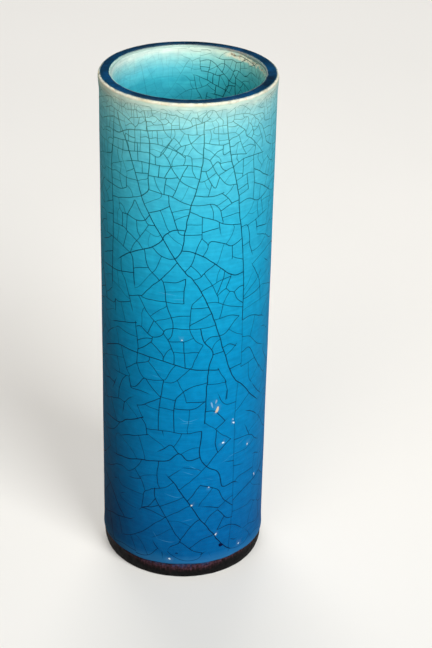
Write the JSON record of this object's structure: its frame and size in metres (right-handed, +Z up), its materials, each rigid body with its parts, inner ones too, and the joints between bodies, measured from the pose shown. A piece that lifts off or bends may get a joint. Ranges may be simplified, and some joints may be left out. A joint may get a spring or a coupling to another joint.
{
  "type": "cylindrical vase",
  "caption": "Tall straight-sided ceramic vase: clay wall, floor and foot ring luted together, under crackle glaze, with a dark blue lip band and a dark bare foot.",
  "frame": {"origin": "centre of the plane that the foot rests on", "axes": "+Z up along the axis of the cylinder, -Y towards the viewer of the picture"},
  "size_m": [0.0848, 0.0848, 0.263],
  "materials": {
    "clay": "cream fired clay under a thin clear glaze, glossy where it shows at the lip",
    "foot_clay": "bare fired clay, matte and slightly gritty",
    "outer_glaze": "glossy crackle glaze, pale turquoise at the lip and deep azure at the foot",
    "inner_glaze": "glossy crackle glaze, pale turquoise",
    "rim_band": "glossy dark blue glaze",
    "foot_wash": "dry dark wash, purple-brown under the glaze and near black at the bottom"
  },
  "bodies": {
    "root": {"body_wall": "clay", "floor_disc": "clay", "seam_coil": "clay", "foot_ring": "foot_clay", "outer_glaze": "outer_glaze", "inner_glaze": "inner_glaze", "rim_band": "rim_band", "foot_wash": "foot_wash"}
  },
  "joints": []
}
